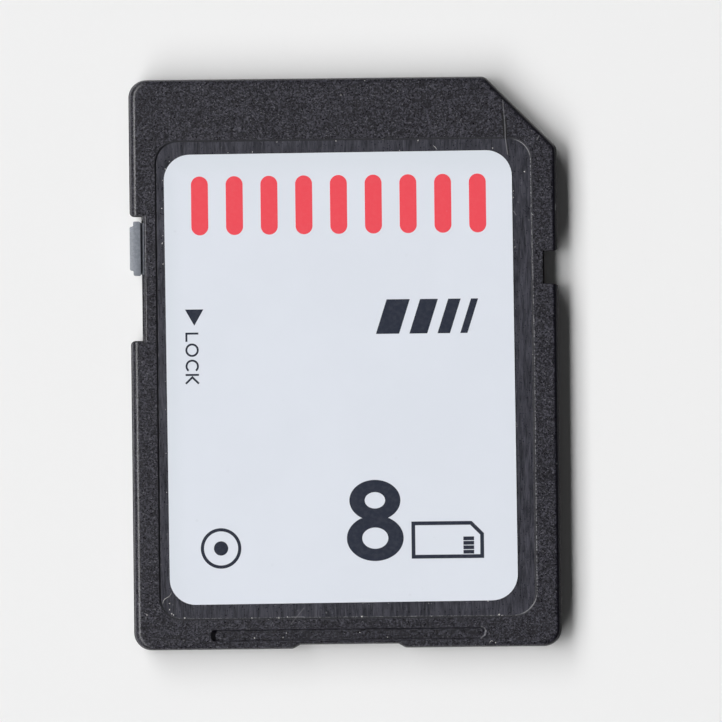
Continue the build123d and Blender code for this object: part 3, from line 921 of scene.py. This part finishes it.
def plain_numeral():
    """Bold figure eight: two rings, each between an ellipse and a wider one cut flat at the waist."""
    middle = (NUMERAL_LEFT + NUMERAL_RIGHT) / 2
    waist = NUMERAL_LOW + WAIST_SHARE * (NUMERAL_HIGH - NUMERAL_LOW)
    overlap = OVERLAP_SHARE * NUMERAL_STROKE
    lower_radius = (NUMERAL_RIGHT - NUMERAL_LEFT) / 2
    rings = ((NUMERAL_LOW, waist + overlap, lower_radius, np.minimum),
             (waist - overlap, NUMERAL_HIGH, UPPER_SHARE * lower_radius, np.maximum))
    shapes = []
    for low, high, radius, cut in rings:
        centre = (middle, (low + high) / 2)
        half = (high - low) / 2
        outer = ring(centre, radius, half, count=96)
        outer[:, 1] = cut(outer[:, 1], waist)
        inner = ring(centre, radius - NUMERAL_STROKE, half - THIN_SHARE * NUMERAL_STROKE, count=96)
        shapes.append(ink(outer, inner, True))
    return shapes


def card_sign():
    """Thin outline of a card on its side, with one cut corner and a row of short ticks for its contacts."""
    half = CARD_SIGN_STROKE / 2
    left = CARD_SIGN_LEFT + half
    right = CARD_SIGN_RIGHT - half
    low = CARD_SIGN_LOW + half
    high = CARD_SIGN_HIGH - half
    cut_low = high - CARD_SIGN_CUT
    outline = [(left, low), (left, high), (right - CARD_SIGN_CUT, high), (right, cut_low), (right, low)]
    shapes = [line(outline, CARD_SIGN_STROKE, True)]
    for place in np.linspace(low, cut_low, TICK_COUNT + 2)[1:-1]:
        shapes.append(line([(right - TICK_FAR, place), (right - TICK_NEAR, place)], CARD_SIGN_STROKE))
    return shapes


# Specks that stand out, as (x, y, size) in millimetres on the card
LARGE_SPECKS = (
    (3.12, 15.22, 0.062), (1.28, 15.82, 0.062), (-0.06, 15.03, 0.062), (2.27, 12.52, 0.075),
    (-0.37, 12.47, 0.075), (4.23, 12.44, 0.112), (3.19, 11.89, 0.075), (8.41, 11.97, 0.075),
    (7.57, 12.54, 0.075), (10.18, 10.63, 0.100), (9.54, 9.55, 0.075), (9.54, 9.19, 0.075),
    (9.60, 6.41, 0.075), (-5.06, 11.90, 0.075), (-6.43, 11.87, 0.075), (-9.72, 11.42, 0.075),
    (-9.95, 10.99, 0.075), (-10.17, 6.83, 0.112), (-10.14, 5.67, 0.088), (-10.18, 8.79, 0.075),
    (-10.13, 7.26, 0.062), (-3.68, 12.44, 0.075), (-11.25, -13.99, 0.100), (-9.87, -13.94, 0.088),
    (-9.14, -14.19, 0.100), (-7.46, -14.28, 0.088), (-5.37, -14.23, 0.088), (-3.86, -14.24, 0.125),
    (-3.38, -14.19, 0.088), (0.80, -14.21, 0.125), (8.03, -14.26, 0.075), (8.49, -14.19, 0.112),
    (8.64, -14.24, 0.075), (7.87, -13.42, 0.088), (10.56, -12.69, 0.088), (-5.24, -15.35, 0.088),
    (-3.45, -15.09, 0.088), (-3.64, -15.34, 0.100), (0.66, -15.10, 0.075), (2.21, -15.38, 0.075),
    (8.27, -15.75, 0.075), (4.70, -14.25, 0.075), (5.17, -14.26, 0.062), (5.56, -14.26, 0.062),
    (5.94, -14.27, 0.075), (-9.98, -13.36, 0.075), (-9.99, -13.71, 0.100), (-9.77, -14.00, 0.088),
)
# Lint fibres, each through its points in millimetres on the card
FIBRES = (
    ((-9.87, -12.75), (-10.05, -13.00), (-10.23, -13.10), (-10.33, -13.25), (-10.36, -13.39)),
    ((5.07, 12.15), (5.18, 12.06), (5.29, 11.92)),
    ((7.93, -15.80), (8.01, -15.66), (8.13, -15.68)),
)


def surface_height(across, along):
    """Height of the front below a point: the label's top, the recess floor or the front face."""
    def within(left, right, rear, front):
        return (across > left) & (across < right) & (along > rear) & (along < front)

    in_label = within(label_low.x, label_high.x, label_low.y, label_high.y)
    in_recess = within(*recess_sides())
    return np.where(in_label, LABEL_Z, np.where(in_recess, LABEL_FLOOR_Z, FRONT_Z))


def strewn(draw, count, *axes):
    """Random places: on each axis spread evenly over a range, or scattered closely about one value."""
    scatter = 0.03 * MM
    values = []
    for axis in axes:
        if isinstance(axis, tuple):
            values.append(draw.uniform(*axis, count))
        else:
            values.append(draw.normal(axis, scatter, count))
    return np.stack(values, axis=1)


def speck_places(draw):
    """Places and sizes of the specks: by the recess walls, by the label's edges, and a few loose ones."""
    wall_gap = 0.04 * MM
    label_gap = 0.02 * MM
    label_gap_right = 0.03 * MM
    band_low = 12.8 * MM
    band_high = 15.6 * MM
    size_steps = 3.0
    size_step = 0.008 * MM
    least_size = 0.012 * MM
    _, right, rear, front = recess_sides()
    edge_x = right - wall_gap
    edge_low = rear + wall_gap
    edge_high = front - wall_gap
    # How many specks, and where they lie across and along the card
    rows = (
        (34, (-0.87 * edge_x, 0.9 * edge_x), edge_low),
        (24, edge_x, (0.9 * edge_low, 0.9 * edge_high)),
        (10, (-0.4 * edge_x, 0.85 * edge_x), edge_high),
        (22, label_low.x - label_gap, (0.9 * label_low.y, 0.95 * label_high.y)),
        (22, (0.8 * label_low.x, 0.8 * label_high.x), label_low.y - label_gap),
        (14, label_high.x + label_gap_right, (0.9 * label_low.y, 0.9 * label_high.y)),
        (10, (-edge_x, edge_x), (band_low, band_high)),
    )
    places = np.vstack([strewn(draw, *row) for row in rows])
    sizes = draw.gamma(size_steps, size_step, len(places)) + least_size
    large = np.array(LARGE_SPECKS) * MM
    return np.vstack([places, large[:, :2]]), np.concatenate([sizes, large[:, 2]])


def dust_shapes():
    """Specks: small flat balls with lobes, each a grid of latitude and longitude, turned at random."""
    rows = 6
    columns = 8
    lobes = 3
    lobe_depth = 0.25
    narrowest = 0.55
    flatness = 0.3
    lift = 0.1
    own = settings("card_dust")
    draw = np.random.default_rng(own.seed)
    places, sizes = speck_places(draw)
    count = len(places)
    widths = sizes[:, None, None]
    latitude = np.linspace(-np.pi / 2, np.pi / 2, rows)[None, :, None]
    longitude = np.linspace(0, 2 * np.pi, columns, endpoint=False)[None, None, :]
    phase = draw.uniform(0, 2 * np.pi, (count, 1, 1))
    stretch = draw.uniform(narrowest, 1.0, (count, 1, 1))
    reach = np.cos(latitude) * (1 + lobe_depth * np.sin(lobes * longitude + phase)) * widths / 2
    along = reach * np.cos(longitude)
    aside = reach * np.sin(longitude) * stretch
    height = np.broadcast_to(np.sin(latitude) * widths * flatness, reach.shape)
    x = along * np.cos(phase) - aside * np.sin(phase) + places[:, 0, None, None]
    y = along * np.sin(phase) + aside * np.cos(phase) + places[:, 1, None, None]
    z = height + (surface_height(places[:, 0], places[:, 1]) + lift * sizes)[:, None, None]
    points = np.stack([x, y, z], axis=-1).reshape(count, -1, 3)
    faces = grid_faces(rows, columns, False, True)
    return [(points[number], faces) for number in range(count)]


def fibre_shapes():
    """Lint: a smooth path through a few points, with a thin round section carried along it."""
    rows = 20
    own = settings("card_dust")
    lift = 0.4 * own.fibre_width
    shapes = []
    for points in FIBRES:
        places = np.array(points) * MM
        share = np.linspace(0, 1, len(places))
        fine = np.linspace(0, 1, rows)
        degree = len(places) - 1
        across, along = (np.polyval(np.polyfit(share, axis, degree), fine) for axis in places.T)
        height = surface_height(across, along).max() + lift
        path = np.stack([across, along, np.full_like(across, height)], axis=1)
        shapes.append(tube(path, own.fibre_width / 2))
    return shapes


def stage_floor(own):
    """Plain floor under the card: a flat grid just below the back face."""
    reach = 1.5
    drop = 0.02 * MM
    count = 9
    darker = 0.995
    steps = np.linspace(-reach, reach, count)
    x, y = np.meshgrid(steps, steps)
    points = np.stack([x, y, np.full_like(x, cad_low.z - drop)], axis=-1).reshape(-1, 3)
    mesh = bpy.data.meshes.new("floor")
    mesh.from_pydata(points, [], grid_faces(count, count).tolist())
    finish = Finish("pale floor", Specular_IOR_Level=0.0, Roughness=0.9)
    shade = tuple(part * darker for part in own.floor)
    finish.feed(Base_Color=finish.mix(finish.noise(finish.place, scale=0.05, detail=1.0), own.floor, shade))
    mesh.materials.append(finish.material)
    floor = bpy.data.objects.new("floor", mesh)
    bpy.context.scene.collection.objects.link(floor)


def stage_lamp(own, name, distance):
    """Flat lamp that leans to the card's lock side, lies along the card and faces it.

    Its tilt, sizes and power are the settings that start with its name.
    """
    tilt = getattr(own, f"{name}_tilt")
    data = bpy.data.lights.new(f"{name}_lamp", "AREA")
    data.shape = "RECTANGLE"
    data.size = getattr(own, f"{name}_width")
    data.size_y = getattr(own, f"{name}_length")
    data.energy = getattr(own, f"{name}_power")
    lamp = bpy.data.objects.new(f"{name}_lamp", data)
    lamp.location = (-distance * math.sin(tilt), 0, distance * math.cos(tilt))
    lamp.rotation_euler = (0, -tilt, 0)
    bpy.context.scene.collection.objects.link(lamp)


def stage_sky(own):
    """Even faint light from all round; lines of sight and reflections meet a pale wall low down."""
    wall_fade_low = 0.02
    wall_fade_high = 0.07
    dim = (own.sky,) * 3
    world = bpy.data.worlds.new("pale room")
    world.use_nodes = True
    world.node_tree.nodes.clear()
    nodes = Tree(world.node_tree)
    path = nodes.add("ShaderNodeLightPath").outputs
    seen = nodes.either(path["Is Camera Ray"], path["Is Glossy Ray"])
    seen = nodes.either(seen, path["Is Transmission Ray"])
    height = nodes.parts(nodes.add("ShaderNodeTexCoord").outputs["Generated"])[2]
    wall = nodes.mix(nodes.ramp(height, wall_fade_low, wall_fade_high), own.floor, dim)
    background = nodes.add("ShaderNodeBackground", {"Color": nodes.mix(seen, dim, wall)})
    nodes.add("ShaderNodeOutputWorld", {"Surface": background.outputs[0]})
    bpy.context.scene.world = world


def stage_camera(own):
    """Camera straight above the card, far off with a long lens."""
    data = bpy.data.cameras.new("camera")
    data.lens = own.lens
    data.clip_start = 0.01
    data.clip_end = 5.0
    camera = bpy.data.objects.new("camera", data)
    distance = own.field_width * own.lens / data.sensor_width
    camera.location = (own.aim_x, own.aim_y, FRONT_Z + distance)
    camera.rotation_euler = (0, 0, own.turn)
    bpy.context.scene.collection.objects.link(camera)
    bpy.context.scene.camera = camera


class MEMCARD_OT_covers(Operator):
    """Give both covers their grainy black plastic"""
    bl_idname = "memcard.covers"
    bl_label = "Finish covers"

    def execute(self, context):
        dress(COVERS, cover_finish())
        return {"FINISHED"}


class MEMCARD_OT_slider(Operator):
    """Give the lock slider its grey plastic"""
    bl_idname = "memcard.slider"
    bl_label = "Finish lock slider"

    def execute(self, context):
        dress(("lock_slider",), slider_finish())
        return {"FINISHED"}


class MEMCARD_OT_label(Operator):
    """Give the label its white film"""
    bl_idname = "memcard.label"
    bl_label = "Finish label"

    def execute(self, context):
        dress(("front_label",), label_finish())
        return {"FINISHED"}


class MEMCARD_OT_contacts(Operator):
    """Give the contacts their gold plating"""
    bl_idname = "memcard.contacts"
    bl_label = "Finish contacts"

    def execute(self, context):
        dress(CONTACTS, contact_finish())
        return {"FINISHED"}


class MEMCARD_OT_board(Operator):
    """Finish the board and the parts on it"""
    bl_idname = "memcard.board"
    bl_label = "Finish board and parts"

    def execute(self, context):
        own = settings("card_board")
        dress(("circuit_board",), board_finish())
        dress(PACKAGES, package_finish())
        dress(("memory_chip_leads",), lead_finish())
        dress(CAPACITORS, passive_finish("tan capacitor", CAPACITORS, own.capacitor, own.capacitor_pale))
        dress(RESISTORS, passive_finish("black resistor", RESISTORS, own.resistor, own.resistor_pale))
        return {"FINISHED"}


class MEMCARD_OT_print(Operator):
    """Print the heading bars and the dark marks on the label"""
    bl_idname = "memcard.print"
    bl_label = "Print label"

    def execute(self, context):
        own = settings("card_label")
        red = ink_finish("red ink", own.warm_ink)
        dark = ink_finish("dark ink", own.dark_ink)
        new_piece("heading_bars", heading_bars(), red)
        new_piece("slanted_bars", slanted_bars(), dark)
        new_piece("switch_arrow", switch_arrow(), dark)
        new_piece("switch_letters", switch_letters(), dark)
        new_piece("ring_mark", ring_and_dot(), dark)
        new_piece("plain_numeral", plain_numeral(), dark)
        new_piece("card_sign", card_sign(), dark)
        return {"FINISHED"}


class MEMCARD_OT_dust(Operator):
    """Lay dust specks and lint on the front"""
    bl_idname = "memcard.dust"
    bl_label = "Lay dust"

    def execute(self, context):
        material = dust_finish()
        new_piece("dust_specks", dust_shapes(), material, smooth=True)
        new_piece("lint_fibres", fibre_shapes(), material, smooth=True)
        return {"FINISHED"}


class MEMCARD_OT_stage(Operator):
    """Set up the floor, the three lamps, the sky and the camera"""
    bl_idname = "memcard.stage"
    bl_label = "Set up stage"

    def execute(self, context):
        own = settings("card_stage")
        stage_floor(own)
        stage_lamp(own, "high", own.lamp_distance)
        stage_lamp(own, "low", own.lamp_distance)
        stage_lamp(own, "near", own.near_distance)
        stage_sky(own)
        stage_camera(own)
        context.scene.view_settings.view_transform = "Standard"
        return {"FINISHED"}


OPERATORS = (
    MEMCARD_OT_covers,
    MEMCARD_OT_slider,
    MEMCARD_OT_label,
    MEMCARD_OT_contacts,
    MEMCARD_OT_board,
    MEMCARD_OT_print,
    MEMCARD_OT_dust,
    MEMCARD_OT_stage,
)
GROUPS = {
    "card_covers": CoverSettings,
    "card_slider": SliderSettings,
    "card_label": LabelSettings,
    "card_board": BoardSettings,
    "card_dust": DustSettings,
    "card_stage": StageSettings,
}


class MEMCARD_PT_panel(Panel):
    """Steps and settings of the memory card"""
    bl_idname = "MEMCARD_PT_panel"
    bl_label = "Memory card"
    bl_space_type = "VIEW_3D"
    bl_region_type = "UI"
    bl_category = "Memory card"

    def draw(self, context):
        for operator in OPERATORS:
            self.layout.operator(operator.bl_idname)
        for name, group in GROUPS.items():
            column = self.layout.column()
            for field in group.__annotations__:
                column.prop(getattr(context.scene, name), field)


def register():
    for group in GROUPS.values():
        bpy.utils.register_class(group)
    for name, group in GROUPS.items():
        setattr(bpy.types.Scene, name, PointerProperty(type=group))
    for operator in OPERATORS:
        bpy.utils.register_class(operator)
    bpy.utils.register_class(MEMCARD_PT_panel)


def unregister():
    bpy.utils.unregister_class(MEMCARD_PT_panel)
    for operator in reversed(OPERATORS):
        bpy.utils.unregister_class(operator)
    for name in GROUPS:
        delattr(bpy.types.Scene, name)
    for group in reversed(GROUPS.values()):
        bpy.utils.unregister_class(group)


def main():
    register()
    shared_effects()
    bpy.ops.memcard.covers()
    bpy.ops.memcard.slider()
    bpy.ops.memcard.label()
    bpy.ops.memcard.contacts()
    bpy.ops.memcard.board()
    bpy.ops.memcard.print()
    bpy.ops.memcard.dust()
    bpy.ops.memcard.stage()


if __name__ == "__main__":
    main()
